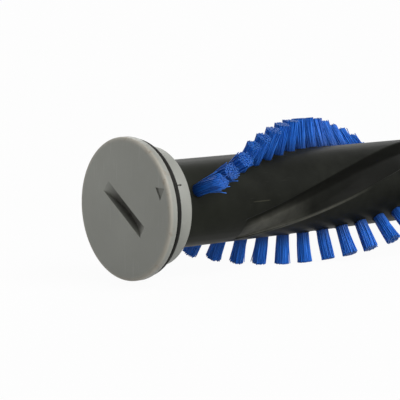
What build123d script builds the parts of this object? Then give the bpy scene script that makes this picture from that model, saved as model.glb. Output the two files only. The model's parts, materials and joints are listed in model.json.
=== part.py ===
"""Roller brush of a vacuum cleaner head.

The roller lies along X. Its end cap, with a coin slot, is at -X and stays still in the head, and the roller
turns in it on a ball bearing. The drive socket is at +X. X = 0 is the rear face of the cap's disc, which
seats on the head, and Z is up. Angles about the axis run from +Y towards +Z. Millimetres.
"""

from build123d import *
import math
import os

# End cap: a disc with a smaller hub behind it
disc_r = 23.0
disc_t = 3.1
disc_edge_r = 1.1
disc_edge_facets = 3
hub_r = 19.4
hub_len = 8.85
hub_wall = 1.8
hub_chamfer = 0.35
face_wall = 2.2
boss_wall = 1.8
rib_count = 8
rib_t = 1.4
rib_h = 3.9

# Coin slot with a round floor, arrow mark and index notch
slot_len = 23.0
slot_w = 4.1
slot_depth = 3.4
slot_angle = 35.4
slot_back_wall = 1.2
mark_side = 4.3
mark_depth = 0.5
mark_r = 19.3
mark_angle = 158.2
notch_w = 0.5
notch_len = 3.5
notch_depth = 0.7
notch_angle = 153.6

# Seal ring in the gland between the disc and the hub
seal_w = 2.5
seal_h = 3.75
seal_corner = 0.8
seal_outer_r = 22.4
seal_ease = 0.05

# Ball bearing
bearing_bore_r = 3.0
bearing_outer_r = 7.5
bearing_w = 5.0
race_wall = 1.35
ball_r = 1.25
ball_count = 7
cage_wall = 0.9
cage_w = 3.4
shield_t = 0.3
shield_inset = 0.25

# Stub axle with its clip and washer
axle_front_room = 0.4
axle_grip = 22.0
axle_chamfer = 0.4
clip_room = 1.9
clip_t = 0.7
clip_r = 4.3
clip_mouth = 3.2
clip_groove_depth = 0.6
washer_t = 0.5
washer_r = 4.2

# Felt ring, thread guard and end plug at the cap end of the roller
felt_t = 1.6
guard_t = 1.5
guard_lip = 1.4
plug_flange_r = 9.8
plug_flange_t = 2.0
plug_len = 25.0
plug_chamfer = 0.6

# Roller body with its two helical recesses
roller_r = 14.35
roller_len = 196.0
roller_bore_r = 6.5
roller_edge = 0.5
neck_r = 12.5
helix_lead = 295.8
recess_span = 42.0
recess_depth = 2.4
recess_step = 0.35
recess_slope = 2.9
recess_edge = 0.45
recess_ramp = 62.0
ramp_over = 1.1
recess_first = 28.2
recess_last = 16.0
recess_lead = 92.2

# Bristle tufts in drilled rows
tuft_pitch = 7.268
tuft_first = 5.8
tuft_last = 7.0
row_angle = 157.8
row_spread = 184.0
row_stagger = 1.0
hole_r = 2.25
hole_depth = 5.8
tuft_sides = 6
tuft_root_r = 2.0
tuft_tip_r = 2.4
tip_r = 24.66
anchor_t = 0.35
anchor_h = 1.6

# Drive plug with a round pilot and a splined socket
drive_flange_t = 2.5
drive_head_r = 9.8
drive_head_len = 4.5
drive_plug_len = 18.0
pilot_r = 5.5
pilot_len = 6.0
pilot_chamfer = 0.5
spline_r = 3.4
spline_tip_r = 4.7
spline_w = 1.9
spline_count = 6
spline_len = 11.0

# Clearances
seat_gap = 0.02
clip_gap = 0.1
ball_gap = 0.05
cage_gap = 0.15
run_gap = 0.4
end_gap = 0.6

# Stations along the axis
front_x = -disc_t
pocket_x = front_x + face_wall
rib_top_x = pocket_x + rib_h
gland_len = seal_w + 2 * seal_ease
recess_x = front_x + slot_depth + slot_back_wall
bearing_x = recess_x + clip_room
bearing_end_x = bearing_x + bearing_w
plug_x = bearing_end_x + washer_t
plug_seat_x = plug_x + plug_flange_t
felt_x = rib_top_x
neck_x = felt_x + felt_t + run_gap
shoulder_x = hub_len + end_gap
roller_end_x = shoulder_x + roller_len
drive_seat_x = roller_end_x - drive_head_len
drive_end_x = roller_end_x + drive_flange_t

# Radii that follow from the sizes above
hub_inner_r = hub_r - hub_wall
boss_r = bearing_outer_r + boss_wall
clip_recess_r = clip_r + 2 * run_gap
seal_inner_r = seal_outer_r - seal_h
ball_ring_r = (bearing_bore_r + bearing_outer_r) / 2
inner_land_r = bearing_bore_r + race_wall
outer_land_r = bearing_outer_r - race_wall
guard_r = hub_inner_r - run_gap


def turned(*points):
    """Solid of revolution about X from (x, radius) points."""
    profile = make_face(Polyline(*points, close=True))
    return revolve(profile, Axis.X, 360)


def around(angle):
    """Turn about the roller's axis."""
    return Rot(angle, 0, 0)


def radial(x, radius, angle):
    """Place whose local Z points away from the axis, with local X along the roller."""
    return around(angle) * Pos(x, radius, 0) * Rot(-90, 0, 0)


def across(x):
    """Plane across the axis at x, with Y to its right and Z up."""
    return Plane.YZ.offset(x)


def save(node, *solids):
    """Write one node, a single solid or a group of equal solids."""
    shape = solids[0] if len(solids) == 1 else Compound(children=list(solids))
    export_step(shape, f"parts/{node}.step")


os.makedirs("parts", exist_ok=True)

# End cap, moulded in one with the hub, the bearing boss and its ribs
disc_edge = []
for i in range(disc_edge_facets + 1):
    turn = math.pi / 2 * i / disc_edge_facets
    disc_edge.append(
        (front_x + disc_edge_r * (1 - math.cos(turn)), disc_r - disc_edge_r * (1 - math.sin(turn)))
    )
end_cap = turned(
    (front_x, 0),
    *disc_edge,
    (0, disc_r),
    (0, seal_inner_r - seal_ease),
    (gland_len, seal_inner_r - seal_ease),
    (gland_len, hub_r),
    (hub_len - hub_chamfer, hub_r),
    (hub_len, hub_r - hub_chamfer),
    (hub_len, hub_inner_r),
    (pocket_x, hub_inner_r),
    (pocket_x, boss_r),
    (bearing_end_x, boss_r),
    (bearing_end_x, bearing_outer_r + seat_gap),
    (bearing_x, bearing_outer_r + seat_gap),
    (bearing_x, clip_recess_r),
    (recess_x, clip_recess_r),
    (recess_x, 0),
)
rib_reach = (hub_wall + boss_wall) / 4
rib_len = hub_inner_r - boss_r + 2 * rib_reach
rib = Pos(pocket_x, boss_r - rib_reach, 0) * Box(
    rib_h, rib_len, rib_t, align=(Align.MIN, Align.MIN, Align.CENTER)
)
end_cap += [around(slot_angle + 360 * (i + 0.5) / rib_count) * rib for i in range(rib_count)]

slot_floor_r = (slot_len**2 / 4 + slot_depth**2) / (2 * slot_depth)
slot_centre_x = front_x + slot_depth - slot_floor_r
slot_tool = Pos(slot_centre_x, 0, 0) * Cylinder(slot_floor_r, slot_w)
end_cap -= around(slot_angle) * slot_tool

mark_y = mark_r * math.cos(math.radians(mark_angle))
mark_z = mark_r * math.sin(math.radians(mark_angle))
mark = across(front_x) * Pos(mark_y, mark_z) * RegularPolygon(mark_side / math.sqrt(3), 3, rotation=-90)
end_cap -= extrude(mark, mark_depth)

notch = Pos(gland_len, hub_r - notch_depth, 0) * Box(
    notch_len, hub_wall, notch_w, align=(Align.MIN, Align.MIN, Align.CENTER)
)
end_cap -= around(notch_angle) * notch
save("end_cap", end_cap)

# Rubber seal ring, with its outer corners taken off
cap_seal = turned(
    (seal_ease, seal_inner_r),
    (seal_ease, seal_outer_r - seal_corner),
    (seal_ease + seal_corner, seal_outer_r),
    (seal_ease + seal_w - seal_corner, seal_outer_r),
    (seal_ease + seal_w, seal_outer_r - seal_corner),
    (seal_ease + seal_w, seal_inner_r),
)
save("cap_seal", cap_seal)

# Ball bearing, pressed into the cap's boss and on the axle, with races of eight-sided section round the balls
bearing_mid_x = bearing_x + bearing_w / 2
track_r = ball_r + ball_gap
track_floor = track_r * (math.sqrt(2) - 1)
outer_track = track_r * math.sqrt(2) - (outer_land_r - ball_ring_r)
outer_race = turned(
    (bearing_x, outer_land_r),
    (bearing_x, bearing_outer_r),
    (bearing_end_x, bearing_outer_r),
    (bearing_end_x, outer_land_r),
    (bearing_mid_x + outer_track, outer_land_r),
    (bearing_mid_x + track_floor, ball_ring_r + track_r),
    (bearing_mid_x - track_floor, ball_ring_r + track_r),
    (bearing_mid_x - outer_track, outer_land_r),
)
save("bearing_outer_race", outer_race)

inner_track = track_r * math.sqrt(2) - (ball_ring_r - inner_land_r)
inner_race = turned(
    (bearing_x, bearing_bore_r + seat_gap),
    (bearing_x, inner_land_r),
    (bearing_mid_x - inner_track, inner_land_r),
    (bearing_mid_x - track_floor, ball_ring_r - track_r),
    (bearing_mid_x + track_floor, ball_ring_r - track_r),
    (bearing_mid_x + inner_track, inner_land_r),
    (bearing_end_x, inner_land_r),
    (bearing_end_x, bearing_bore_r + seat_gap),
)
save("bearing_inner_race", inner_race)

# A ball with flats: a cube whose edges are cut back until every face is as far out
ball_edge = 2 * ball_r / math.sqrt(5 + 2 * math.sqrt(2))
ball_block = Box(*3 * [ball_edge * (1 + math.sqrt(2))])
ball = chamfer(ball_block.edges(), ball_edge / math.sqrt(2))
balls = [around(360 * i / ball_count) * Pos(bearing_mid_x, ball_ring_r, 0) * ball for i in range(ball_count)]
save("bearing_balls", *balls)

cage = turned(
    (bearing_mid_x - cage_w / 2, ball_ring_r - cage_wall / 2),
    (bearing_mid_x - cage_w / 2, ball_ring_r + cage_wall / 2),
    (bearing_mid_x + cage_w / 2, ball_ring_r + cage_wall / 2),
    (bearing_mid_x + cage_w / 2, ball_ring_r - cage_wall / 2),
)
window_side = 2 * (ball_r + cage_gap)
window = Pos(bearing_mid_x, ball_ring_r, 0) * Box(window_side, 3 * cage_wall, window_side)
cage -= [around(360 * i / ball_count) * window for i in range(ball_count)]
save("bearing_cage", cage)

for side, shield_x in (
    ("front", bearing_x + shield_inset),
    ("rear", bearing_end_x - shield_inset - shield_t),
):
    shield = turned(
        (shield_x, inner_land_r + ball_gap),
        (shield_x, outer_land_r - seat_gap),
        (shield_x + shield_t, outer_land_r - seat_gap),
        (shield_x + shield_t, inner_land_r + ball_gap),
    )
    save(f"bearing_shield_{side}", shield)

# Steel stub axle with a groove for its clip
axle_x = recess_x + axle_front_room
axle_end_x = plug_x + axle_grip
clip_end_x = bearing_x - clip_gap
clip_x = clip_end_x - clip_t
groove_r = bearing_bore_r - clip_groove_depth
axle = turned(
    (axle_x, 0),
    (axle_x, bearing_bore_r - axle_chamfer),
    (axle_x + axle_chamfer, bearing_bore_r),
    (clip_x - seat_gap, bearing_bore_r),
    (clip_x - seat_gap, groove_r),
    (clip_end_x + seat_gap, groove_r),
    (clip_end_x + seat_gap, bearing_bore_r),
    (axle_end_x, bearing_bore_r),
    (axle_end_x, 0),
)
save("stub_axle", axle)

clip_face = Circle(clip_r) - Circle(groove_r + seat_gap)
clip_face -= Pos(clip_r, 0) * Rectangle(2 * clip_r, clip_mouth)
axle_clip = extrude(across(clip_x) * clip_face, clip_t)
save("axle_clip", axle_clip)

washer = turned(
    (bearing_end_x, bearing_bore_r + seat_gap),
    (bearing_end_x, washer_r),
    (plug_x, washer_r),
    (plug_x, bearing_bore_r + seat_gap),
)
save("thrust_washer", washer)

# Felt ring on the cap's ribs, which keeps dust out of the bearing
felt = turned(
    (felt_x, boss_r + run_gap / 2),
    (felt_x, guard_r),
    (felt_x + felt_t, guard_r),
    (felt_x + felt_t, boss_r + run_gap / 2),
)
save("felt_ring", felt)

# Thread guard: a lipped ring on the roller's neck that turns inside the hub
guard = turned(
    (neck_x, guard_r - guard_lip),
    (neck_x, guard_r),
    (hub_len, guard_r),
    (hub_len, neck_r + seat_gap),
    (hub_len - guard_t, neck_r + seat_gap),
    (hub_len - guard_t, guard_r - guard_lip),
)
save("thread_guard", guard)

# End plug that carries the stub axle
plug_end_x = plug_seat_x + plug_len
end_plug = turned(
    (plug_x, bearing_bore_r + seat_gap),
    (plug_x, plug_flange_r),
    (plug_seat_x, plug_flange_r),
    (plug_seat_x, roller_bore_r - seat_gap),
    (plug_end_x - plug_chamfer, roller_bore_r - seat_gap),
    (plug_end_x, roller_bore_r - seat_gap - plug_chamfer),
    (plug_end_x, bearing_bore_r + seat_gap),
)
save("end_plug", end_plug)

# Roller body: a thick moulded tube with a neck, two helical recesses and drilled tuft rows
body = turned(
    (neck_x, plug_flange_r + seat_gap),
    (neck_x, neck_r),
    (shoulder_x, neck_r),
    (shoulder_x, roller_r - roller_edge),
    (shoulder_x + roller_edge, roller_r),
    (roller_end_x, roller_r),
    (roller_end_x, drive_head_r + seat_gap),
    (drive_seat_x, drive_head_r + seat_gap),
    (drive_seat_x, roller_bore_r),
    (plug_seat_x, roller_bore_r),
    (plug_seat_x, plug_flange_r + seat_gap),
)

first_tuft_x = shoulder_x + tuft_first
last_tuft_x = roller_end_x - tuft_last
tuft_count = int((last_tuft_x - first_tuft_x) / tuft_pitch) + 1


def row_turn(x):
    """Angle of the first tuft row at a station along the roller."""
    return row_angle - 360 * (x - first_tuft_x) / helix_lead


recess_start_x = shoulder_x + recess_first
recess_stop_x = roller_end_x - recess_last
recess_run = recess_stop_x - recess_start_x
ramp_run = ramp_over * recess_ramp
ramp_end_r = roller_r - recess_step - ramp_over * (recess_depth - recess_step)
recess_core = turned(
    (recess_start_x, 0),
    (recess_start_x, roller_r - recess_step),
    (recess_start_x + ramp_run, ramp_end_r),
    (recess_stop_x - ramp_run, ramp_end_r),
    (recess_stop_x, roller_r - recess_step),
    (recess_stop_x, 0),
)
half_width = math.tan(math.radians(recess_span / 2))
wedge_r = roller_r + 2 * recess_depth
wedge_edge_r = roller_r - recess_edge
# One wall slopes down to its foot, from where the floor rises to the low step of the other lip
recess_floor_r = roller_r - recess_depth
lip_turn = math.radians(recess_span / 2)
foot_turn = lip_turn - recess_slope / recess_floor_r
slope_lip = Vector(roller_r * math.cos(lip_turn), -roller_r * math.sin(lip_turn))
slope_foot = Vector(recess_floor_r * math.cos(foot_turn), -recess_floor_r * math.sin(foot_turn))
slope_run = slope_lip - slope_foot
wedge = Polyline(
    slope_foot,
    slope_lip + slope_run * 2,
    (wedge_r, wedge_r * half_width),
    wedge_edge_r * Vector(math.cos(lip_turn), math.sin(lip_turn)),
    close=True,
)
wedge_face = (across(recess_start_x) * make_face(wedge)).face()
recess_tool = Solid.extrude_linear_with_rotation(
    wedge_face, (recess_start_x, 0, 0), (recess_run, 0, 0), -360 * recess_run / helix_lead
)
recess_tool = recess_tool - recess_core
recess_angle = row_turn(recess_start_x) + recess_lead
body -= [around(recess_angle) * recess_tool, around(recess_angle + 180) * recess_tool]

hole_base_r = roller_r - hole_depth
hole_turn = 180 / tuft_sides
hole = extrude(RegularPolygon(hole_r, tuft_sides, rotation=hole_turn), 2 * hole_depth)
tuft_base_h = anchor_h
tuft = loft(
    [
        Pos(0, 0, tuft_base_h) * RegularPolygon(tuft_root_r, tuft_sides, rotation=hole_turn),
        Pos(0, 0, tip_r - hole_base_r) * RegularPolygon(tuft_tip_r, tuft_sides, rotation=hole_turn),
    ],
    ruled=True,
)
anchor_len = 2 * (hole_r * math.cos(math.pi / tuft_sides) - seat_gap)
anchor = Box(anchor_t, anchor_len, anchor_h, align=(Align.CENTER, Align.CENTER, Align.MIN))

holes = []
for row in (1, 2):
    seats = []
    for i in range(tuft_count):
        x = first_tuft_x + i * tuft_pitch + (2 - row) * row_stagger
        seats.append(radial(x, hole_base_r, row_turn(x) - (row - 1) * row_spread))
    holes += [seat * hole for seat in seats]
    save(f"bristle_row_{row}", *[seat * tuft for seat in seats])
    save(f"tuft_anchors_{row}", *[seat * anchor for seat in seats])

body -= holes
save("roller_body", body)

# Drive plug at the far end
drive_plug = turned(
    (drive_seat_x - drive_plug_len, 0),
    (drive_seat_x - drive_plug_len, roller_bore_r - seat_gap - plug_chamfer),
    (drive_seat_x - drive_plug_len + plug_chamfer, roller_bore_r - seat_gap),
    (drive_seat_x, roller_bore_r - seat_gap),
    (drive_seat_x, drive_head_r),
    (roller_end_x, drive_head_r),
    (roller_end_x, roller_r),
    (drive_end_x - roller_edge, roller_r),
    (drive_end_x, roller_r - roller_edge),
    (drive_end_x, pilot_r + pilot_chamfer),
    (drive_end_x - pilot_chamfer, pilot_r),
    (drive_end_x - pilot_len, pilot_r),
    (drive_end_x - pilot_len, 0),
)
spline = Circle(spline_r)
spline += [
    Rot(0, 0, 360 * i / spline_count) * Pos(spline_tip_r / 2, 0) * Rectangle(spline_tip_r, spline_w)
    for i in range(spline_count)
]
drive_plug -= extrude(across(drive_end_x - pilot_len - spline_len) * spline, spline_len)
save("drive_plug", drive_plug)
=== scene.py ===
# %% [markdown]
# # Roller brush of a vacuum cleaner head
# A round grey cap with a coin slot closes the side of the cleaner head. Behind it a black roller turns, with
# two helical rows of blue bristle tufts. The engineering model comes in first, as a fixed frame: its nodes
# are never moved, and each piece made here rides on one of its bodies. The box of the model is kept now,
# while nothing else is in the scene.

# %% Load the engineering model
import json
import math
import random

import bmesh
import bpy
from mathutils import Matrix, Vector


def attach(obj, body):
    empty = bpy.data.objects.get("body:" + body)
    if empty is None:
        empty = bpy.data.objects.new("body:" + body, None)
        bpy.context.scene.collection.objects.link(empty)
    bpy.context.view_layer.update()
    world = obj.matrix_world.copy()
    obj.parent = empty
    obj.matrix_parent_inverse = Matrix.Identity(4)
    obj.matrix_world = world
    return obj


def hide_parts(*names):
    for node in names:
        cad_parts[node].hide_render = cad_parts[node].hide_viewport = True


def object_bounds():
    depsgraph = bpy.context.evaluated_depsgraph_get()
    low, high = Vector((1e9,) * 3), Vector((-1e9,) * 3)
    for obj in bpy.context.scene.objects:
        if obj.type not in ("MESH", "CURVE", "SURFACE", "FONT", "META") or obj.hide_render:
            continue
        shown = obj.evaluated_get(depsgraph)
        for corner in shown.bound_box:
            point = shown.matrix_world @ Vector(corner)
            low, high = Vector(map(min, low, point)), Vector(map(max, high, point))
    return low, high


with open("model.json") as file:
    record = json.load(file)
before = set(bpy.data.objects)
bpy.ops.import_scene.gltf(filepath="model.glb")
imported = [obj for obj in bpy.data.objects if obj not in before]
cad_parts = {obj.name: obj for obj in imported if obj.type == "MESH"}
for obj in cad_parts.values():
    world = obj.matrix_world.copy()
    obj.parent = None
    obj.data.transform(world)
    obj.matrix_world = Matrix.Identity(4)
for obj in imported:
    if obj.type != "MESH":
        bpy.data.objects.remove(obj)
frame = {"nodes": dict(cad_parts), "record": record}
cad_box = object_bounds()
MM = 0.001

# %% [markdown]
# ## Camera
# The photograph looks at the cap from its front right and from just above, so the roller runs off to the
# right. A long lens keeps it from shrinking fast towards its far end, so the camera stands well back. Its
# place was fitted to the ellipse of the disc and to the spacing of the tufts. A track quaternion is the plain
# way to aim a camera: it turns the lens along a direction and keeps the picture upright.

# %% Place the camera
lens = bpy.data.cameras.new("camera")
lens.sensor_width = 36.0
lens.lens = 171.7
lens.clip_end = 100.0
camera = bpy.data.objects.new("camera", lens)
bpy.context.scene.collection.objects.link(camera)
camera.location = (-0.37464, -0.47125, 0.07848)
looking = Vector((0.64507, 0.75384, -0.12492))
camera.rotation_euler = looking.to_track_quat("-Z", "Y").to_euler()
bpy.context.scene.camera = camera
bpy.context.scene.view_settings.view_transform = "Standard"
print("camera at", tuple(round(c, 3) for c in camera.location))

# %% [markdown]
# ## Node helpers
# Every finish below is a small tree of nodes. One helper adds a node, sets its options and fills its
# sockets: a socket of another node makes a link, and a plain value is written on the socket. A second one
# mixes two colours. All patterns read Object coordinates, which are the metres of the model itself.

# %% Helpers for building finishes
def add(tree, kind, sockets=None, **options):
    """Add a shader node, set its options and fill its sockets."""
    node = tree.nodes.new("ShaderNode" + kind)
    for name, value in options.items():
        setattr(node, name, value)
    for key, value in (sockets or {}).items():
        if isinstance(value, bpy.types.NodeSocket):
            tree.links.new(value, node.inputs[key])
        else:
            node.inputs[key].default_value = value
    return node


def mix_colour(tree, amount, first, second):
    """Colour between two colours, by an amount from 0 to 1."""
    sockets = {0: amount, 6: first, 7: second}
    return add(tree, "Mix", sockets, data_type="RGBA").outputs[2]


def spread(tree, value, low, high, to_low=0.0, to_high=1.0):
    """Stretch a value from one range to another, and hold it there."""
    sockets = {"Value": value, "From Min": low, "From Max": high, "To Min": to_low, "To Max": to_high}
    return add(tree, "MapRange", sockets).outputs["Result"]


def start_finish(slot):
    """New material for a slot of the record, with its node tree, its shader and the Object coordinates."""
    finish = bpy.data.materials.new(slot + "_finish")
    finish["slot"] = slot
    finish.use_nodes = True
    tree = finish.node_tree
    place = add(tree, "TexCoord").outputs["Object"]
    return finish, tree, tree.nodes["Principled BSDF"], place


def speckle(tree, place, scale, detail=3.0, roughness=0.55):
    """Noise between 0 and 1, with its scale in cells per metre."""
    sockets = {"Vector": place, "Scale": scale, "Detail": detail, "Roughness": roughness}
    return add(tree, "TexNoise", sockets).outputs["Fac"]


def stretched(tree, place, scale, turn=(0.0, 0.0, 0.0)):
    """Coordinates squeezed unevenly, which turns even noise into streaks."""
    return add(tree, "Mapping", {"Vector": place, "Scale": scale, "Rotation": turn}).outputs["Vector"]


def from_axis(tree, place):
    """Distance of a point from the roller's axis, in metres."""
    flat = add(tree, "VectorMath", {0: place, 1: (0.0, 1.0, 1.0)}, operation="MULTIPLY").outputs["Vector"]
    return add(tree, "VectorMath", {0: flat}, operation="LENGTH").outputs["Value"]


def times(tree, first, second):
    """Product of two values."""
    return add(tree, "Math", {0: first, 1: second}, operation="MULTIPLY").outputs["Value"]


def between(tree, value, low, high, fade):
    """1 where a value lies in a range, fading out inside both of its ends."""
    return times(tree, spread(tree, value, low, low + fade), spread(tree, value, high, high - fade))


def relief(tree, shader, height, depth):
    """Bump on the shader, with its depth in millimetres."""
    bump = add(tree, "Bump", {"Height": height, "Strength": 1.0, "Distance": depth * MM})
    tree.links.new(bump.outputs["Normal"], shader.inputs["Normal"])


print("finish helpers ready")

# %% [markdown]
# ## Floor and light
# The photograph is a plain studio picture on white. A wide floor at the height of the bristle tips takes the
# shadow. Seen by the camera, or in a glossy surface, the floor and the world are nearly pure white; the light
# that reaches the object stays at a plain level. Suns with a wide angle give soft light that is the same all
# over the large floor: the key comes from the right of the camera, a weaker one from low down lights the
# tufts on the underside, and one from behind draws the bright line along the top of the roller. A small panel
# near the cap makes its face brighter at the upper left, because light from a near lamp falls off over so
# short a way.

# %% Make the floor
def seen_or_mirrored(tree):
    """1 for rays from the camera and for reflected or refracted rays, else 0."""
    path = add(tree, "LightPath").outputs
    first = add(tree, "Math", {0: path["Is Camera Ray"], 1: path["Is Glossy Ray"]}, operation="MAXIMUM")
    sockets = {0: first.outputs["Value"], 1: path["Is Transmission Ray"]}
    return add(tree, "Math", sockets, operation="MAXIMUM").outputs["Value"]


paper = bpy.data.materials.new("floor_paper")
paper.use_nodes = True
tree = paper.node_tree
tree.nodes.remove(tree.nodes["Principled BSDF"])
paper_grain = speckle(tree, add(tree, "TexCoord").outputs["Object"], 40.0)
paper_tone = mix_colour(tree, paper_grain, (0.62, 0.62, 0.62, 1.0), (0.66, 0.66, 0.66, 1.0))
lit = add(tree, "BsdfDiffuse", {"Color": paper_tone}).outputs["BSDF"]
white = add(tree, "Emission", {"Color": (1.0, 1.0, 1.0, 1.0), "Strength": 1.0}).outputs["Emission"]
shown = times(tree, seen_or_mirrored(tree), 0.955)
both = add(tree, "MixShader", {0: shown, 1: lit, 2: white})
tree.links.new(both.outputs["Shader"], tree.nodes["Material Output"].inputs["Surface"])

bm = bmesh.new()
bmesh.ops.create_grid(bm, x_segments=1, y_segments=1, size=15.0)
bmesh.ops.translate(bm, verts=bm.verts, vec=(0, 0, cad_box[0][2]))
floor_mesh = bpy.data.meshes.new("floor")
bm.to_mesh(floor_mesh)
bm.free()
floor_mesh.materials.append(paper)
floor = bpy.data.objects.new("floor", floor_mesh)
bpy.context.scene.collection.objects.link(floor)
print("floor at z", round(cad_box[0][2], 4))

# %% Light the studio
world = bpy.data.worlds.new("studio")
world.use_nodes = True
bpy.context.scene.world = world
tree = world.node_tree
room = tree.nodes["Background"]
room.inputs["Color"].default_value = (1.0, 1.0, 1.0, 1.0)
room.inputs["Strength"].default_value = 0.30
backdrop = add(tree, "Background", {"Color": (1.0, 1.0, 1.0, 1.0), "Strength": 1.0})
sockets = {0: seen_or_mirrored(tree), 1: room.outputs["Background"], 2: backdrop.outputs["Background"]}
both = add(tree, "MixShader", sockets)
tree.links.new(both.outputs["Shader"], tree.nodes["World Output"].inputs["Surface"])


def sun(name, towards, strength, angle):
    """Soft sun whose light comes from a direction."""
    lamp = bpy.data.lights.new(name, "SUN")
    lamp.energy = strength
    lamp.angle = math.radians(angle)
    piece = bpy.data.objects.new(name, lamp)
    piece.rotation_euler = Vector(towards).to_track_quat("Z", "Y").to_euler()
    bpy.context.scene.collection.objects.link(piece)


sun("key_sun", (0.25, -0.80, 0.75), 2.65, 40)
sun("fill_sun", (0.40, -0.90, 0.10), 0.7, 50)
sun("rim_sun", (0.55, 0.75, 0.60), 0.5, 30)
panel_lamp = bpy.data.lights.new("face_panel", "AREA")
panel_lamp.size = 0.05
panel_lamp.energy = 0.025
panel = bpy.data.objects.new("face_panel", panel_lamp)
panel.location = (-0.08, 0.06, 0.08)
panel.rotation_euler = panel.location.to_track_quat("Z", "Y").to_euler()
bpy.context.scene.collection.objects.link(panel)

# %% [markdown]
# ## Grey plastic of the cap
# The cap is moulded in a warm grey plastic with a fine spark-eroded grain. Broad noise shifts the tone a
# little, fine noise is the grain of the mould, and long thin noise gives the faint rubs of handling. The
# rounded edge is painted paler and warmer in patches and has brown scuffs. Painted shade, with a little dust,
# darkens the slot the deeper it goes, and painted shade darkens the floor of the arrow mark. These follow the
# distance from the axis and the depth behind the face, so they stay on the piece from any side.

# %% Finish: cap plastic
cap_plastic, tree, shader, place = start_finish("cap_plastic")
broad = speckle(tree, place, 70.0, 4.0)
grain = speckle(tree, place, 2600.0, 2.0)
rub_place = stretched(tree, place, (200.0, 1600.0, 90.0), (0.6, 0.0, 0.0))
rubs = spread(tree, speckle(tree, rub_place, 1.0, 2.0), 0.62, 0.78)
tone = mix_colour(tree, broad, (0.225, 0.230, 0.205, 1.0), (0.280, 0.285, 0.257, 1.0))
tone = mix_colour(tree, times(tree, grain, 0.35), tone, (0.19, 0.193, 0.172, 1.0))
tone = mix_colour(tree, times(tree, rubs, 0.22), tone, (0.38, 0.38, 0.355, 1.0))
radius = from_axis(tree, place)
depth = add(tree, "SeparateXYZ", {"Vector": place}).outputs["X"]
# The rounded edge is painted paler and warmer, in patches.
edge = times(tree, spread(tree, radius, 0.0214, 0.0228), spread(tree, depth, -0.0016, -0.0024))
edge = times(tree, edge, spread(tree, broad, 0.2, 0.7, 0.35, 0.75))
tone = mix_colour(tree, edge, tone, (0.38, 0.345, 0.285, 1.0))
scuffs = spread(tree, speckle(tree, place, 330.0, 5.0, 0.7), 0.56, 0.70, 0.0, 0.6)
scuffs = times(tree, scuffs, spread(tree, radius, 0.0212, 0.0222))
tone = mix_colour(tree, scuffs, tone, (0.20, 0.150, 0.105, 1.0))
# Painted shade with a little dust: the slot gets darker the deeper it goes.
slot_shade_and_dust = times(tree, spread(tree, depth, -0.0028, -0.0008), spread(tree, radius, 0.0218, 0.0214))
slot_shade_and_dust = times(tree, slot_shade_and_dust, spread(tree, depth, 0.0008, 0.0004))
slot_shade_and_dust = times(tree, slot_shade_and_dust, spread(tree, speckle(tree, place, 420.0, 4.0), 0.2, 0.8, 0.7, 1.0))
tone = mix_colour(tree, slot_shade_and_dust, tone, (0.036, 0.034, 0.028, 1.0))
# Painted shade on the floor of the arrow mark.
shade_and_grime = times(tree, spread(tree, depth, -0.00305, -0.0028), spread(tree, depth, -0.0020, -0.0024))
shade_and_grime = times(tree, shade_and_grime, spread(tree, radius, 0.0152, 0.0160))
shade_and_grime = times(tree, shade_and_grime, spread(tree, radius, 0.0216, 0.0212))
tone = mix_colour(tree, times(tree, shade_and_grime, 0.45), tone, (0.070, 0.068, 0.058, 1.0))
tree.links.new(tone, shader.inputs["Base Color"])
tree.links.new(spread(tree, rubs, 0.0, 1.0, 0.52, 0.36), shader.inputs["Roughness"])
relief(tree, shader, grain, 0.03)
print("finish", cap_plastic.name)

# %% [markdown]
# ## Rubber of the seal
# A rubber ring is nearly black and dull. What makes it read as rubber is a soft bloom: a thin greyish film
# in patches, with a few specks of dust that stick to it.

# %% Finish: seal rubber
seal_rubber, tree, shader, place = start_finish("seal_rubber")
bloom = spread(tree, speckle(tree, place, 240.0, 5.0), 0.35, 0.75)
specks = spread(tree, speckle(tree, place, 1700.0, 1.0), 0.72, 0.80)
tone = mix_colour(tree, bloom, (0.006, 0.006, 0.005, 1.0), (0.014, 0.014, 0.012, 1.0))
tone = mix_colour(tree, times(tree, specks, 0.35), tone, (0.09, 0.085, 0.075, 1.0))
tree.links.new(tone, shader.inputs["Base Color"])
tree.links.new(spread(tree, bloom, 0.0, 1.0, 0.48, 0.72), shader.inputs["Roughness"])
shader.inputs["Specular IOR Level"].default_value = 0.10
relief(tree, shader, speckle(tree, place, 2200.0, 3.0), 0.02)
print("finish", seal_rubber.name)

# %% [markdown]
# ## Black plastic of the roller
# The roller is moulded in a black plastic with a soft shine. Its skin is not quite even: it sank a little as
# it cooled, so the reflections waver, and flow lines run along it. Noise drawn out along the roller gives the
# flow lines, in the relief and in the roughness. Other noise mottles the tone and adds fine rubs, and the end
# next to the cap is paler from handling. The recesses wind round the roller, so a winding coordinate is made
# from the angle and the station. With it the recesses are painted paler in patches where they begin, painted
# shade darkens their sloped wall and the parts where they are deep, and a painted highlight runs along their
# low lip. One short scratch shows near the cap.

# %% Finish: roller plastic
helix_lead = 295.8
recess_middle = 268.6
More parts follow.
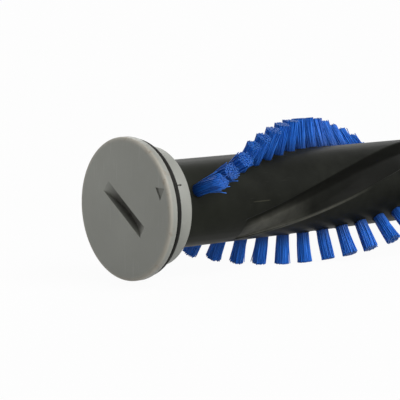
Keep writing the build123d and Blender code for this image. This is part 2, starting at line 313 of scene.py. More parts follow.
# Near black for the painted shade in the recesses.
painted_shade_black = (0.0035, 0.0036, 0.0030, 1.0)
roller_plastic, tree, shader, place = start_finish("roller_plastic")
flow = speckle(tree, stretched(tree, place, (25.0, 420.0, 420.0)), 1.0, 4.0)
patches = speckle(tree, place, 130.0, 4.0)
rubs = spread(tree, speckle(tree, stretched(tree, place, (240.0, 2200.0, 2200.0)), 1.0, 2.0), 0.66, 0.80)
mottle = spread(tree, patches, 0.32, 0.68)
tone = mix_colour(tree, mottle, (0.0056, 0.0060, 0.0046, 1.0), (0.0118, 0.0126, 0.0100, 1.0))
tone = mix_colour(tree, times(tree, rubs, 0.3), tone, (0.034, 0.034, 0.030, 1.0))
radius = from_axis(tree, place)
axes = add(tree, "SeparateXYZ", {"Vector": place}).outputs
angle = add(tree, "Math", {0: axes["Z"], 1: axes["Y"]}, operation="ARCTAN2").outputs["Value"]
sockets = {0: axes["X"], 1: math.tau / (helix_lead * MM), 2: angle}
across = add(tree, "Math", sockets, operation="MULTIPLY_ADD").outputs["Value"]


def along_recess(offset):
    """1 on a line that winds along each recess, some degrees off its middle, and less beside it."""
    sockets = {0: across, 1: 2.0, 2: math.radians(-2 * (recess_middle + offset))}
    turned = add(tree, "Math", sockets, operation="MULTIPLY_ADD").outputs["Value"]
    return add(tree, "Math", {0: turned}, operation="COSINE").outputs["Value"]


handled = spread(tree, axes["X"], 0.050, 0.014, 0.0, 0.65)
tone = mix_colour(tree, handled, tone, (0.0175, 0.0190, 0.0140, 1.0))
patchy = spread(tree, speckle(tree, place, 260.0, 5.0), 0.25, 0.75, 0.5, 1.0)
# The recesses are painted paler in patches where they begin.
ramps = times(tree, spread(tree, axes["X"], 0.068, 0.046), spread(tree, axes["X"], 0.0365, 0.0430))
sunk = times(tree, spread(tree, radius, 0.01420, 0.01395), spread(tree, along_recess(7.8), 0.70, 0.92))
pale_start = times(tree, times(tree, sunk, ramps), patchy)
tone = mix_colour(tree, pale_start, tone, (0.090, 0.089, 0.075, 1.0))
# Painted highlight: a thin pale line along the low lip of each recess.
lip_highlight = times(tree, spread(tree, along_recess(22.8), 0.9970, 0.9994), patchy)
lip_highlight = times(tree, lip_highlight, between(tree, axes["X"], 0.040, 0.095, 0.020))
tone = mix_colour(tree, lip_highlight, tone, (0.085, 0.084, 0.070, 1.0))
# Painted shade on the sloped wall of each recess, which is also duller there.
on_wall = spread(tree, along_recess(-14.2), 0.93, 0.98, 0.0, 0.7)
shaded_wall = times(tree, spread(tree, radius, 0.01432, 0.01405), on_wall)
shaded_wall_tone = times(tree, shaded_wall, spread(tree, axes["X"], 0.044, 0.066))
tone = mix_colour(tree, shaded_wall_tone, tone, painted_shade_black)
# Painted shade where the recesses are deep.
deep_shade = times(tree, spread(tree, radius, 0.0141, 0.0136), spread(tree, axes["X"], 0.060, 0.082, 0.0, 0.65))
tone = mix_colour(tree, deep_shade, tone, painted_shade_black)
scratch_line = between(tree, axes["Z"], 0.00002, 0.00048, 0.00015)
scratch_line = times(tree, scratch_line, spread(tree, axes["Y"], 0.0, -0.001))
scratch_line = times(tree, scratch_line, between(tree, axes["X"], 0.0390, 0.0470, 0.0010))
tone = mix_colour(tree, times(tree, scratch_line, patchy), tone, (0.042, 0.042, 0.030, 1.0))
tree.links.new(tone, shader.inputs["Base Color"])
sockets = {0: shaded_wall, 1: 0.6, 2: spread(tree, flow, 0.25, 0.75, 0.34, 0.50)}
dull = add(tree, "Math", sockets, operation="MULTIPLY_ADD")
tree.links.new(dull.outputs["Value"], shader.inputs["Roughness"])
shader.inputs["Specular IOR Level"].default_value = 0.035
relief(tree, shader, flow, 0.05)
print("finish", roller_plastic.name)

# %% [markdown]
# ## Black plastic of the plugs
# The plugs at the roller's ends come from another mould, with a duller, grainy skin.

# %% Finish: plug plastic
plug_plastic, tree, shader, place = start_finish("plug_plastic")
grain = speckle(tree, place, 1900.0, 3.0)
patches = speckle(tree, place, 160.0, 3.0)
tone = mix_colour(tree, patches, (0.020, 0.020, 0.020, 1.0), (0.036, 0.036, 0.035, 1.0))
tone = mix_colour(tree, times(tree, grain, 0.3), tone, (0.060, 0.060, 0.058, 1.0))
tree.links.new(tone, shader.inputs["Base Color"])
tree.links.new(spread(tree, patches, 0.3, 0.7, 0.50, 0.64), shader.inputs["Roughness"])
relief(tree, shader, grain, 0.03)
print("finish", plug_plastic.name)

# %% [markdown]
# ## Blue nylon of the bristles
# Each tuft is a bundle of drawn nylon filaments. They are a strong blue, with painted shade that darkens them
# down in the bundle, and duller at the cut ends, which are worn and dusty. No two filaments have quite the
# same tone, so every strand carries a number of its own, made with the mesh, and the finish reads that
# number.
# A number below 0 marks a soiled strand.

# %% Finish: bristle nylon
# Dark blue for the painted shade at the roots and for soiled strands.
shade_and_dirt_blue = (0.003, 0.022, 0.130, 1.0)
bristle_nylon, tree, shader, place = start_finish("bristle_nylon")
own_tone = add(tree, "Attribute", attribute_name="strand_tone").outputs["Fac"]
height = spread(tree, from_axis(tree, place), 0.0143, 0.0247)
tone = mix_colour(tree, own_tone, (0.008, 0.122, 0.530, 1.0), (0.018, 0.178, 0.710, 1.0))
# Painted shade: the filaments get darker towards their roots.
root_shade = spread(tree, height, 0.0, 0.45, 0.75, 0.0)
tone = mix_colour(tree, root_shade, tone, shade_and_dirt_blue)
cut_end = spread(tree, height, 0.955, 0.985, 0.0, 0.7)
tone = mix_colour(tree, cut_end, tone, (0.008, 0.086, 0.330, 1.0))
dirty = spread(tree, own_tone, 0.0, -1.0, 0.0, 0.8)
tone = mix_colour(tree, dirty, tone, shade_and_dirt_blue)
tree.links.new(tone, shader.inputs["Base Color"])
drawn = speckle(tree, place, 1500.0, 2.0)
tree.links.new(spread(tree, drawn, 0.2, 0.8, 0.34, 0.52), shader.inputs["Roughness"])
shader.inputs["Specular IOR Level"].default_value = 0.30
relief(tree, shader, drawn, 0.01)
print("finish", bristle_nylon.name)

# %% [markdown]
# ## Metals, wire and felt inside
# The bearing, the axle and their small parts are hidden in the cap, but they are finished as the real ones
# are, for anyone who takes the brush apart. Ground and turned steel shows fine rings round its axis, pressed
# steel is duller, and the spring clip is blackened. The wire in the tuft holes is brass, and the dust ring is
# grey felt with short fibres.

# %% Finishes: steel, brass and felt
def metal(name, colour, dull, polish, rough):
    """Metal with fine rings round the roller's axis and slow stains."""
    finish, tree, shader, place = start_finish(name)
    along = add(tree, "SeparateXYZ", {"Vector": place}).outputs["X"]
    rings = {"X": times(tree, from_axis(tree, place), 6000.0), "Y": times(tree, along, 5000.0), "Z": 0.0}
    marks = speckle(tree, add(tree, "CombineXYZ", rings).outputs["Vector"], 1.0, 2.0)
    stains = speckle(tree, place, 300.0, 4.0)
    tree.links.new(mix_colour(tree, stains, colour, dull), shader.inputs["Base Color"])
    tree.links.new(spread(tree, marks, 0.25, 0.75, polish, rough), shader.inputs["Roughness"])
    shader.inputs["Metallic"].default_value = 1.0
    relief(tree, shader, marks, 0.004)
    return finish


bearing_steel = metal("bearing_steel", (0.62, 0.62, 0.63, 1.0), (0.50, 0.50, 0.51, 1.0), 0.12, 0.26)
pressed_steel = metal("pressed_steel", (0.50, 0.50, 0.51, 1.0), (0.38, 0.38, 0.38, 1.0), 0.28, 0.46)
axle_steel = metal("axle_steel", (0.55, 0.55, 0.56, 1.0), (0.42, 0.42, 0.43, 1.0), 0.18, 0.34)
spring_steel = metal("spring_steel", (0.07, 0.07, 0.075, 1.0), (0.04, 0.04, 0.043, 1.0), 0.30, 0.50)
anchor_wire = metal("anchor_wire", (0.60, 0.43, 0.16, 1.0), (0.42, 0.30, 0.12, 1.0), 0.25, 0.42)

felt, tree, shader, place = start_finish("felt")
fibres = speckle(tree, stretched(tree, place, (900.0, 2600.0, 1400.0), (0.4, 0.7, 0.2)), 1.0, 4.0)
tone = mix_colour(tree, fibres, (0.20, 0.19, 0.17, 1.0), (0.42, 0.40, 0.36, 1.0))
tree.links.new(tone, shader.inputs["Base Color"])
shader.inputs["Roughness"].default_value = 0.95
shader.inputs["Sheen Weight"].default_value = 0.3
relief(tree, shader, fibres, 0.15)
print("metals and felt ready")

# %% [markdown]
# ## Turning, rounding and finishing a piece
# Most of the brush is round about one axis, so most pieces are turned, as on a lathe: an outline of a few
# points is spun a full turn. Hard corners are then rounded with a bevel, because real mouldings catch light
# on their edges. A last helper makes the mesh an object, smooths it up to an angle and gives it its body and
# its finish.

# %% Helpers for turned pieces
def turn(outline, steps):
    """Spin an outline of (station, radius) points, in millimetres, a full turn about the roller's axis."""
    bm = bmesh.new()
    corners = [bm.verts.new((x * MM, r * MM, 0)) for x, r in outline]
    runs = [bm.edges.new(pair) for pair in zip(corners, corners[1:])]
    if outline[0][1] > 0:
        runs.append(bm.edges.new((corners[-1], corners[0])))
    bmesh.ops.spin(
        bm, geom=corners + runs, cent=(0, 0, 0), axis=(1, 0, 0), angle=math.tau, steps=steps, use_merge=True
    )
    bmesh.ops.remove_doubles(bm, verts=bm.verts, dist=1e-7)
    bmesh.ops.recalc_face_normals(bm, faces=bm.faces)
    return bm


def ring_at(bm, x, r):
    """Edges of the ring at a station and radius, in millimetres."""
    def there(vert):
        off = math.hypot(vert.co.y, vert.co.z) / MM - r
        return abs(vert.co.x / MM - x) < 0.005 and abs(off) < 0.005
    return [edge for edge in bm.edges if there(edge.verts[0]) and there(edge.verts[1])]


def round_off(bm, edges, size, segments):
    """Round edges off, with the size in millimetres."""
    bmesh.ops.bevel(
        bm, geom=edges, offset=size * MM, offset_type="OFFSET", affect="EDGES", segments=segments,
        profile=0.5, material=-1,
    )


def make_piece(name, bm, body, finish, sharp=38.0):
    """Make a mesh an object that rides on a body, smooth up to an angle."""
    mesh = bpy.data.meshes.new(name)
    bm.to_mesh(mesh)
    bm.free()
    mesh.shade_smooth()
    mesh.set_sharp_from_angle(angle=math.radians(sharp))
    mesh.materials.append(finish)
    piece = bpy.data.objects.new(name, mesh)
    bpy.context.scene.collection.objects.link(piece)
    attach(piece, body)
    triangles = sum(len(face.vertices) - 2 for face in mesh.polygons)
    print(name, "on", body, triangles, "triangles")
    return piece


print("turning helpers ready")

# %% [markdown]
# ## End cap
# The cap is one moulding: a disc, a groove for the seal, the hub that sits in the head, and inside a boss for
# the bearing held by eight ribs. It is turned from its half section. The slot has a round floor, as if a
# large thin wheel had been pushed into the face, so it is cut with exactly that: a thin cylinder. A
# three-sided prism cuts the arrow mark and a small block cuts the notch in the hub. One boolean takes all
# three away, which is easier than shaping the face round them by hand.

# %% Turn the cap
front_x = -3.1
disc_r = 23.0
hub_r = 19.4
hub_end = 8.85
gland_end = 2.6
gland_r = 18.6
pocket_x = -0.9
cup_r = 17.6
boss_r = 9.3
bearing_front, bearing_back = 3.4, 8.4
bearing_seat_r = 7.52
clip_x = 1.5
clip_room_r = 5.1
cap_outline = [
    (front_x, 0), (front_x, disc_r), (0, disc_r), (0, gland_r), (gland_end, gland_r), (gland_end, hub_r),
    (hub_end, hub_r), (hub_end, cup_r), (pocket_x, cup_r), (pocket_x, boss_r), (bearing_back, boss_r),
    (bearing_back, bearing_seat_r), (bearing_front, bearing_seat_r), (bearing_front, clip_room_r),
    (clip_x, clip_room_r), (clip_x, 0),
]
cap = turn(cap_outline, 160)
face = [f for f in cap.faces if f.normal.x < -0.99 and f.calc_center_median().x < (front_x + 0.01) * MM]
bmesh.ops.dissolve_faces(cap, faces=face)
round_off(cap, ring_at(cap, front_x, disc_r), 1.1, 6)
round_off(cap, ring_at(cap, 0, disc_r), 0.3, 3)
round_off(cap, ring_at(cap, hub_end, hub_r), 0.35, 3)
round_off(cap, ring_at(cap, gland_end, hub_r), 0.25, 2)
print("cap turned with", len(cap.faces), "faces")

# %% Cut the slot, the arrow mark and the notch
slot_len = 23.0
slot_w = 4.1
slot_depth = 3.4
slot_angle = 35.4
floor_r = (slot_len**2 / 4 + slot_depth**2) / (2 * slot_depth)
cutter = bmesh.new()
wheel_place = (
    Matrix.Rotation(math.radians(slot_angle), 4, "X")
    @ Matrix.Translation(((front_x + slot_depth - floor_r) * MM, 0, 0))
)
bmesh.ops.create_cone(
    cutter, cap_ends=True, segments=240, radius1=floor_r * MM, radius2=floor_r * MM, depth=slot_w * MM,
    matrix=wheel_place,
)
mark_angle = math.radians(158.2)
mark_r = 19.3
mark_corner_r = 2.483
mark_place = (
    Matrix.Translation((front_x * MM, mark_r * MM * math.cos(mark_angle), mark_r * MM * math.sin(mark_angle)))
    @ Matrix.Rotation(math.radians(-90), 4, "X")
    @ Matrix.Rotation(math.radians(90), 4, "Y")
)
bmesh.ops.create_cone(
    cutter, cap_ends=True, segments=3, radius1=mark_corner_r * MM, radius2=mark_corner_r * MM, depth=1.0 * MM,
    matrix=mark_place,
)
notch_angle = 153.6
notch_len, notch_h, notch_w = 3.5, 1.8, 0.5
notch_rise = 0.2
notch_place = (
    Matrix.Rotation(math.radians(notch_angle), 4, "X")
    @ Matrix.Translation(((gland_end + notch_len / 2) * MM, (hub_r + notch_rise) * MM, 0))
    @ Matrix.Diagonal((notch_len, notch_h, notch_w, 1.0))
)
bmesh.ops.create_cube(cutter, size=MM, matrix=notch_place)


def scratch_object(name, bm):
    """Object that is only needed for a moment."""
    mesh = bpy.data.meshes.new(name)
    bm.to_mesh(mesh)
    bm.free()
    piece = bpy.data.objects.new(name, mesh)
    bpy.context.scene.collection.objects.link(piece)
    return piece


def cut_away(bm, cutter):
    """Mesh with the cutter's shape taken away."""
    blank, tool = scratch_object("blank", bm), scratch_object("tool", cutter)
    step = blank.modifiers.new("cut", "BOOLEAN")
    step.object = tool
    step.operation = "DIFFERENCE"
    step.solver = "EXACT"
    sight = bpy.context.evaluated_depsgraph_get()
    result = bpy.data.meshes.new_from_object(blank.evaluated_get(sight))
    left = bmesh.new()
    left.from_mesh(result)
    for piece in (blank, tool):
        bpy.data.objects.remove(piece)
    bpy.data.meshes.remove(result)
    return left


cap = cut_away(cap, cutter)
print("cap cut to", len(cap.faces), "faces")

# %% Ease the cut edges and finish the cap
flat_r = 21.7


def on_face(edge):
    """True for an edge of a cut in the cap's face."""
    flat = all(abs(v.co.x / MM - front_x) < 0.002 for v in edge.verts)
    inner = all(math.hypot(v.co.y, v.co.z) < flat_r * MM for v in edge.verts)
    return flat and inner and len(edge.link_faces) == 2 and edge.calc_face_angle(0) > 0.5


round_off(cap, [e for e in cap.edges if on_face(e)], 0.16, 2)
rib_count = 8
rib_h, rib_w = 3.9, 1.4
rib_bite = 0.9
for i in range(rib_count):
    rib_place = (
        Matrix.Rotation(math.radians(slot_angle + 360 * (i + 0.5) / rib_count), 4, "X")
        @ Matrix.Translation(((pocket_x + rib_h / 2) * MM, (boss_r + cup_r) / 2 * MM, 0))
        @ Matrix.Diagonal((rib_h, cup_r - boss_r + 2 * rib_bite, rib_w, 1.0))
    )
    bmesh.ops.create_cube(cap, size=MM, matrix=rib_place)
end_cap = make_piece("cap_moulding", cap, "cap", cap_plastic)
for polygon in end_cap.data.polygons:
    if polygon.normal.x < -0.999:
        polygon.use_smooth = False
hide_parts("end_cap")

# %% [markdown]
# ## Seal ring
# The seal is a rubber ring in the groove behind the disc. Its section is a tall rounded block, so a
# rectangle is spun and its four corners are rounded, the outer two the most.

# %% Turn the seal ring
seal_in, seal_out = 18.65, 22.4
seal_front, seal_back = 0.05, 2.55
seal = turn([(seal_front, seal_in), (seal_front, seal_out), (seal_back, seal_out), (seal_back, seal_in)], 144)
round_off(seal, ring_at(seal, seal_front, seal_out) + ring_at(seal, seal_back, seal_out), 1.1, 7)
round_off(seal, ring_at(seal, seal_front, seal_in) + ring_at(seal, seal_back, seal_in), 0.4, 3)
seal_ring = make_piece("seal_ring", seal, "cap", seal_rubber)
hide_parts("cap_seal")

# %% [markdown]
# ## Roller body
# The roller is a thick tube. Two shallow recesses wind along it beside the tuft rows, a third of a millimetre
# deep where they begin and running down a long ramp to their full depth. The section across the tube is drawn
# once: one wall of each recess slopes down to its foot, and from there the floor rises to a low step. The
# section is swept along the axis with a screw motion: the spin operator turns and shifts it a little at every
# step. Afterwards points that lie deeper than the ramp are moved out to it.

# %% Draw the section across the roller
roller_r = 14.35
roller_len = 196.0
roller_edge = 0.5
end_gap = 0.6
tuft_first = 5.8
row_angle = 157.8
recess_depth = 2.4
recess_edge = 0.45
recess_slope = 2.9
recess_span = 42
recess_lead = 92.2
shoulder_x = hub_end + end_gap
roller_end = shoulder_x + roller_len
first_tuft_x = shoulder_x + tuft_first


def row_turn(x):
    """Angle of the first tuft row at a station, in degrees."""
    return row_angle - 360 * (x - first_tuft_x) / helix_lead


sweep_x = shoulder_x + roller_edge
body = bmesh.new()


def rim_point(turn, r):
    """Point of the section at an angle in degrees and a radius in millimetres."""
    return Vector((sweep_x, r * math.cos(math.radians(turn)), r * math.sin(math.radians(turn)))) * MM


def draw_to(pen, target, steps):
    """Draw a straight line on from a point."""
    for i in range(steps):
        grown = bmesh.ops.extrude_vert_indiv(body, verts=[pen])["verts"]
        bmesh.ops.translate(body, verts=grown, vec=(target - pen.co) / (steps - i))
        pen = grown[0]
    return pen


lip_turn = row_turn(sweep_x) + recess_lead - recess_span / 2
foot_turn = lip_turn + math.degrees(recess_slope / (roller_r - recess_depth))
land_angle = math.radians(180 - recess_span)
pen = body.verts.new(rim_point(lip_turn, roller_r))
for half in (0, 180):
    pen = draw_to(pen, rim_point(foot_turn + half, roller_r - recess_depth), 7)
    pen = draw_to(pen, rim_point(lip_turn + recess_span + half, roller_r - recess_edge), 14)
    pen = draw_to(pen, rim_point(lip_turn + recess_span + half, roller_r), 1)
    swing = bmesh.ops.spin(
        body, geom=[pen], cent=(sweep_x * MM, 0, 0), axis=(1, 0, 0), angle=land_angle, steps=76
    )
    pen = [v for v in swing["geom_last"] if isinstance(v, bmesh.types.BMVert)][0]
bmesh.ops.remove_doubles(body, verts=body.verts, dist=1e-7)
bmesh.ops.contextual_create(body, geom=body.edges[:])
corners = [v for v in body.verts if v.calc_edge_angle(0) > 0.4]
bmesh.ops.bevel(
    body, geom=corners, offset=0.2 * MM, offset_type="OFFSET", affect="VERTICES", segments=3, profile=0.5,
    material=-1,
)
bmesh.ops.delete(body, geom=body.faces[:], context="FACES_ONLY")
print("section of", len(body.verts), "points,", len(corners), "corners rounded")

# %% Sweep the section along the roller
recess_first, recess_last = 28.2, 16.0
recess_ramp = 62.0
recess_step = 0.35
step_half = 0.05
recess_start = shoulder_x + recess_first
recess_stop = roller_end - recess_last
first_ring = body.edges[:]
moving = body.verts[:] + body.edges[:]
stations = (
    (recess_start - step_half, 28), (recess_start + step_half, 1), (recess_stop - step_half, 150),
    (recess_stop + step_half, 1), (roller_end, 16),
)
here = sweep_x
for stop, steps in stations:
    step = (stop - here) / steps
    screw = math.radians(-360 * (stop - here) / helix_lead)
    swept = bmesh.ops.spin(
        body, geom=moving, cent=(0, 0, 0), axis=(1, 0, 0), angle=screw, steps=steps, dvec=(step * MM, 0, 0)
    )
    moving = swept["geom_last"]
    here = stop
last_ring = [e for e in moving if isinstance(e, bmesh.types.BMEdge)]


def ramp_depth(x):
    """Depth that the recess may have at a station, in millimetres."""
    from_end = min(x - recess_start, recess_stop - x)
    return 0.0 if from_end < 0 else recess_step + (recess_depth - recess_step) * from_end / recess_ramp


for v in body.verts:
    r = math.hypot(v.co.y, v.co.z) / MM
    new_r = max(r, roller_r - ramp_depth(v.co.x / MM))
    v.co.y *= new_r / r
    v.co.z *= new_r / r
print("swept to", len(body.verts), "points, last ring at", round(max(v.co.x for v in body.verts) / MM, 2))

# %% Close the roller with its shoulder, neck and bore
neck_x = 5.0
neck_r = 12.5
bore_r = 6.5
flange_r = 9.82
flange_x = 10.9
drive_seat = roller_end - 4.5
ring = first_ring
inside = (
    (shoulder_x, roller_r - roller_edge), (shoulder_x, neck_r), (neck_x, neck_r), (neck_x, flange_r),
    (flange_x, flange_r), (flange_x, bore_r), (drive_seat, bore_r), (drive_seat, flange_r),
    (roller_end, flange_r),
)
for x, reach in inside:
    grown = bmesh.ops.extrude_edge_only(body, edges=ring)["geom"]
    ring = [e for e in grown if isinstance(e, bmesh.types.BMEdge)]
    for v in [v for v in grown if isinstance(v, bmesh.types.BMVert)]:
        scale = reach * MM / math.hypot(v.co.y, v.co.z)
        v.co = (x * MM, v.co.y * scale, v.co.z * scale)
bmesh.ops.bridge_loops(body, edges=ring + last_ring)
bmesh.ops.recalc_face_normals(body, faces=body.faces)
roller_body = make_piece("roller_tube", body, "roller", roller_plastic, sharp=50.0)
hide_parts("roller_body")

# %% [markdown]
# ## Tuft holes
# Each tuft is pushed into a drilled hole. The drill leaves a fine raised lip round the mouth. One lip is
# turned as a small ring, and a copy of it is set on the roller at every tuft.

# %% Set a lip round every tuft hole
tuft_pitch = 7.268
tuft_count = 26
row_stagger = 1.0
row_spread = 184.0


def tuft_seat(row, i):
    """Place of a tuft on the roller's skin, with Z away from the axis."""
    x = first_tuft_x + i * tuft_pitch + (2 - row) * row_stagger
    angle = row_turn(x) - (row - 1) * row_spread
    return (
        Matrix.Rotation(math.radians(angle), 4, "X")
        @ Matrix.Translation((x * MM, roller_r * MM, 0))
        @ Matrix.Rotation(math.radians(-90), 4, "X")
    )


lip_ring = turn([(-0.45, 2.22), (0.00, 2.24), (0.05, 2.34), (0.02, 2.50), (-0.25, 2.65)], 20)
upright = Matrix.Rotation(math.radians(-90), 3, "Y")
bmesh.ops.rotate(lip_ring, verts=lip_ring.verts, cent=(0, 0, 0), matrix=upright)
lip_mesh = bpy.data.meshes.new("lip")
lip_ring.to_mesh(lip_mesh)
lip_ring.free()
lips = bmesh.new()
for row in (1, 2):
    for i in range(tuft_count):
        known = len(lips.verts)
        lips.from_mesh(lip_mesh)
        lips.verts.ensure_lookup_table()
        bmesh.ops.transform(lips, matrix=tuft_seat(row, i), verts=lips.verts[known:])
bmesh.ops.recalc_face_normals(lips, faces=lips.faces)
make_piece("hole_lips", lips, "roller", roller_plastic)

# %% [markdown]
# ## Bristle tufts
# A tuft is a few hundred nylon filaments folded into the hole and trimmed to length. Each strand is a thin
# five-sided rod, extruded in three steps along a slightly bent line, with a cut face at its end. A plain core
# stands for the filaments deep inside, so that no black gaps show between the outer ones. A few different
# tufts are made as patterns. Then every seat on the roller gets one of them, turned about its own axis,
# spread and leaned a little, because tufts settle differently in use. The ones next to the cap are frayed
# most.

# %% Make the tuft patterns
strand_count = 190
strand_sides = 5
strand_r = 0.15
strand_sway, strand_bow = 0.20, 0.10
bundle_r = 2.0
bundle_fan = 0.14
golden_angle = 2.39996
root_depth = 0.6
tuft_h = 10.40
trim_spread = 0.16
core_sides = 14
core_r = 1.80
core_flare = 1.026
core_drop = 0.5
core_tone = 0.3


def draw_rod(bm, sides, radius, turn, spots, flare=1.0):
    """Closed rod through a few spots, in millimetres, wider by a factor at each. Returns its points."""
    place = Matrix.Translation(spots[0] * MM) @ Matrix.Rotation(turn, 4, "Z")
    ring = bmesh.ops.create_circle(bm, segments=sides, radius=radius * MM, matrix=place)["verts"]
    points = list(ring)
    edges = list({e for v in ring for e in v.link_edges})
    bmesh.ops.contextual_create(bm, geom=edges)
    for last, spot in zip(spots, spots[1:]):
        grown = bmesh.ops.extrude_edge_only(bm, edges=edges)["geom"]
        ring = [v for v in grown if isinstance(v, bmesh.types.BMVert)]
        edges = [e for e in grown if isinstance(e, bmesh.types.BMEdge)]
        bmesh.ops.translate(bm, verts=ring, vec=(spot - last) * MM)
        bmesh.ops.scale(bm, verts=ring, vec=(flare, flare, 1), space=Matrix.Translation(-spot * MM))
        points += ring
    bmesh.ops.contextual_create(bm, geom=edges)
    return points


def tuft_pattern(seed):
    """Mesh of one tuft that stands on Z, with its roots just under the roller's skin."""
    chance = random.Random(seed)
    bm = bmesh.new()
    own = bm.verts.layers.float.new("strand_tone")
    core_len = tuft_h - core_drop + root_depth
    core_spots = [Vector((0, 0, -root_depth + core_len * i / 5)) for i in range(6)]
    for v in draw_rod(bm, core_sides, core_r, 0.0, core_spots, core_flare):
        v[own] = core_tone
    for i in range(strand_count):
        out = bundle_r * math.sqrt((i + 0.5) / strand_count)
        foot = Vector((out * math.cos(golden_angle * i), out * math.sin(golden_angle * i), 0))
        sway = Vector((chance.gauss(0, strand_sway), chance.gauss(0, strand_sway), 0))
        bow = Vector((chance.gauss(0, strand_bow), chance.gauss(0, strand_bow), 0))
        top = tuft_h - chance.uniform(0.0, trim_spread)
        tone = chance.random()
        spots = [foot - Vector((0, 0, root_depth))]
        for share in (0.4, 0.75, 1.0):
            aim = foot * (1 + bundle_fan * share) + sway * share**2 + bow * math.sin(math.pi * share)
            spots.append(Vector((aim.x, aim.y, top * share)))
        for v in draw_rod(bm, strand_sides, strand_r, chance.uniform(0, math.tau), spots):
            v[own] = tone
    bmesh.ops.recalc_face_normals(bm, faces=bm.faces)
    mesh = bpy.data.meshes.new("tuft_pattern")
    bm.to_mesh(mesh)
    bm.free()
    return mesh


patterns = [tuft_pattern(seed) for seed in range(6)]
print("patterns of", len(patterns[0].polygons), "faces")

# %% Set the tufts on the roller
bend_drop = 0.67
stray_turn = 97
# Row and number of a tuft, then its splay, its lean along and across the roller, its stray and its grime
frayed = {
    (1, 0): (0.9, 3.0, -0.7, 2.2, 0.7),
    (1, 1): (1.2, 0.1, -1.3, 0.8, 0.6),
    (1, 2): (1.15, 0.8, -1.2, 1.0, 0.3),
    (2, 0): (1.25, -0.8, 0.4, 1.0, 0.0),
}


def settle(tuft, splay, lean_x, lean_y, stray, shade_and_grime):
    """Spread, bend and soil a tuft, let a few strands stray, and trim it round about the roller's axis."""
    own = tuft.verts.layers.float["strand_tone"]
    for v in tuft.verts:
        share = max(0.0, v.co.z / (tuft_h * MM))
        wild = stray * v[own]**5
        bend_x = (lean_x + wild * math.cos(stray_turn * v[own])) * MM * share**2
        bend_y = (lean_y + wild * math.sin(stray_turn * v[own])) * MM * share**2
        v.co.x = v.co.x * (1 + (splay - 1) * share) + bend_x
        v.co.y = v.co.y * (1 + (splay - 1) * share) + bend_y
        drop = bend_drop * (bend_x**2 + bend_y**2) / (tuft_h * MM)
        reach = roller_r * MM + v.co.z - drop
        v.co.z = math.sqrt(reach**2 - v.co.y**2) - roller_r * MM
        v[own] -= shade_and_grime


for row in (1, 2):
    chance = random.Random(40 + row)
    bundle = bmesh.new()
    bundle.verts.layers.float.new("strand_tone")
    scratch = bpy.data.meshes.new("scratch")
    for i in range(tuft_count):
        usual = (chance.uniform(0.94, 1.12), chance.gauss(0, 0.22), chance.gauss(0, 0.22), 0.5, 0.0)
        tuft = bmesh.new()
        tuft.from_mesh(chance.choice(patterns))
        quarter = Matrix.Rotation(chance.uniform(0, math.tau), 3, "Z")
        bmesh.ops.rotate(tuft, verts=tuft.verts, cent=(0, 0, 0), matrix=quarter)
        settle(tuft, *frayed.get((row, i), usual))
        bmesh.ops.transform(tuft, matrix=tuft_seat(row, i), verts=tuft.verts)
        tuft.to_mesh(scratch)
        tuft.free()
        bundle.from_mesh(scratch)
    bpy.data.meshes.remove(scratch)
    filaments = make_piece(f"filaments_{row}", bundle, "roller", bristle_nylon, sharp=80.0)
    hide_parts(f"bristle_row_{row}")

# %% [markdown]
# ## Thread guard and drive plug
# Behind the cap a lipped ring on the roller's neck keeps hair out of the bearing. At the far end a plug
# closes the tube, with a round pilot and a socket of six grooves for the drive. Both are turned and their
# edges rounded. The grooves of the socket are drawn by pulling parts of a circle outwards, and the circle is
# then pushed into the plug and closed.

# %% Turn the thread guard
web_x = hub_end - 1.5
seat_gap = 0.02
guard_r, lip_r = 17.2, 15.8
guard_outline = [
    (neck_x, lip_r), (neck_x, guard_r), (hub_end, guard_r), (hub_end, neck_r + seat_gap),
    (web_x, neck_r + seat_gap), (web_x, lip_r),
]
guard = turn(guard_outline, 128)
round_off(guard, ring_at(guard, hub_end, guard_r) + ring_at(guard, neck_x, guard_r), 0.3, 3)
thread_guard = make_piece("thread_guard_ring", guard, "roller", roller_plastic)
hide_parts("thread_guard")

# %% Turn the drive plug and sink its socket
drive_end = roller_end + 2.5
pilot_r = 5.5
spline_in, spline_out = 3.4, 4.7
groove_half = 13.5
socket_len = 11.0
socket_floor = drive_end - 6.0
plug_tail = drive_seat - 18.0
plug_r = bore_r - seat_gap
plug_flange_r = flange_r - seat_gap
plug_outline = [
    (plug_tail, 0), (plug_tail, plug_r), (drive_seat, plug_r), (drive_seat, plug_flange_r),
    (roller_end, plug_flange_r), (roller_end, roller_r), (drive_end, roller_r), (drive_end, pilot_r),
    (socket_floor, pilot_r), (socket_floor, 0),
]
plug = turn(plug_outline, 120)
for x, r, size in ((drive_end, roller_r, 0.5), (drive_end, pilot_r, 0.5), (plug_tail, plug_r, 0.6)):
    round_off(plug, ring_at(plug, x, r), size, 4)


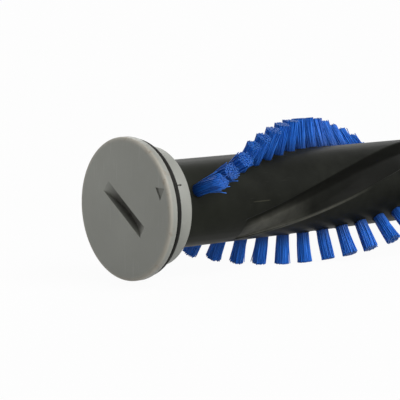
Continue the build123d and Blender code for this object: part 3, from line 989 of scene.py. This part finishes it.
def on_socket_floor(face):
    """True for a face of the flat floor behind the pilot bore."""
    middle = face.calc_center_median()
    return face.normal.x > 0.99 and abs(middle.x / MM - socket_floor) < 0.01 and middle.yz.length < 5.6 * MM


bmesh.ops.delete(plug, geom=[f for f in plug.faces if on_socket_floor(f)], context="FACES")
rim = ring_at(plug, socket_floor, pilot_r)
spline = bmesh.ops.create_circle(plug, segments=120, radius=spline_in * MM)["verts"]
bmesh.ops.rotate(plug, verts=spline, cent=(0, 0, 0), matrix=Matrix.Rotation(math.radians(90), 3, "Y"))
bmesh.ops.translate(plug, verts=spline, vec=(socket_floor * MM, 0, 0))
for v in spline:
    angle = math.degrees(math.atan2(v.co.z, v.co.y)) % 60
    if min(angle, 60 - angle) < groove_half:
        v.co.y *= spline_out / spline_in
        v.co.z *= spline_out / spline_in
mouth = list({e for v in spline for e in v.link_edges})
sunk = bmesh.ops.extrude_edge_only(plug, edges=mouth)["geom"]
sunk_points = [v for v in sunk if isinstance(v, bmesh.types.BMVert)]
bmesh.ops.translate(plug, verts=sunk_points, vec=(-socket_len * MM, 0, 0))
bmesh.ops.contextual_create(plug, geom=[e for e in sunk if isinstance(e, bmesh.types.BMEdge)])
bmesh.ops.bridge_loops(plug, edges=rim + mouth)
bmesh.ops.recalc_face_normals(plug, faces=plug.faces)
drive_plug = make_piece("drive_plug_moulding", plug, "roller", plug_plastic)
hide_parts("drive_plug")

# %% [markdown]
# ## Pieces that stay as they are
# The small parts inside keep their own engineering shapes. Each node takes the finish of its material.

# %% Give the inner parts their finishes
finishes = {
    "cap_plastic": cap_plastic, "seal_rubber": seal_rubber, "felt": felt, "bearing_steel": bearing_steel,
    "pressed_steel": pressed_steel, "axle_steel": axle_steel, "spring_steel": spring_steel,
    "roller_plastic": roller_plastic, "plug_plastic": plug_plastic, "bristle_nylon": bristle_nylon,
    "anchor_wire": anchor_wire,
}
for part in frame["record"]["subparts"]:
    node = frame["nodes"][part["node"]]
    node.data.materials.clear()
    node.data.materials.append(finishes[part["material_slot"]])
